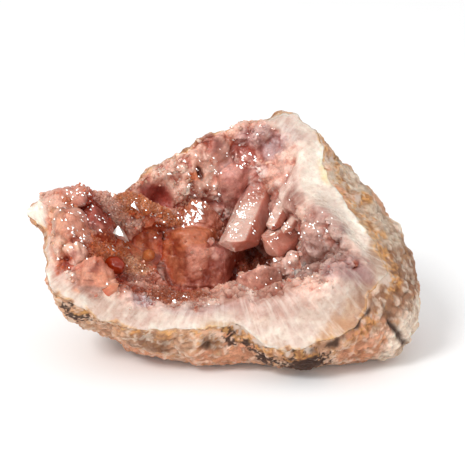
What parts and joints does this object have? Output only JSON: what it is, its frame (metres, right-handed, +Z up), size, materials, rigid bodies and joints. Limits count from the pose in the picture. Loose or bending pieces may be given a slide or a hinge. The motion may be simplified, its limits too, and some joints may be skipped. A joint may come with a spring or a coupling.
{
  "type": "pink amethyst geode",
  "caption": "Half of a broken hollow stone with a rough tan outside, a white quartz rim and a hollow lined with rose-coloured crystals; rests on its worn underside.",
  "frame": {"origin": "middle of the box around the stone, at the height of the flat patch that it rests on", "axes": "+Z up, -Y towards the open side, +X to the right as seen from the open side"},
  "size_m": [0.095, 0.0589, 0.0552],
  "materials": {
    "quartz_rock": "rough tan rind with ochre and dark brown stains, and a sugary white quartz rim",
    "rose_crystal": "clear to cloudy rose quartz crystals with glossy faces",
    "rose_druse": "small rose crystals with glossy sparkling faces",
    "rust_druse": "small iron-stained orange-brown crystals with glossy sparkling faces"
  },
  "bodies": {
    "root": {"geode": "quartz_rock"}
  },
  "joints": []
}
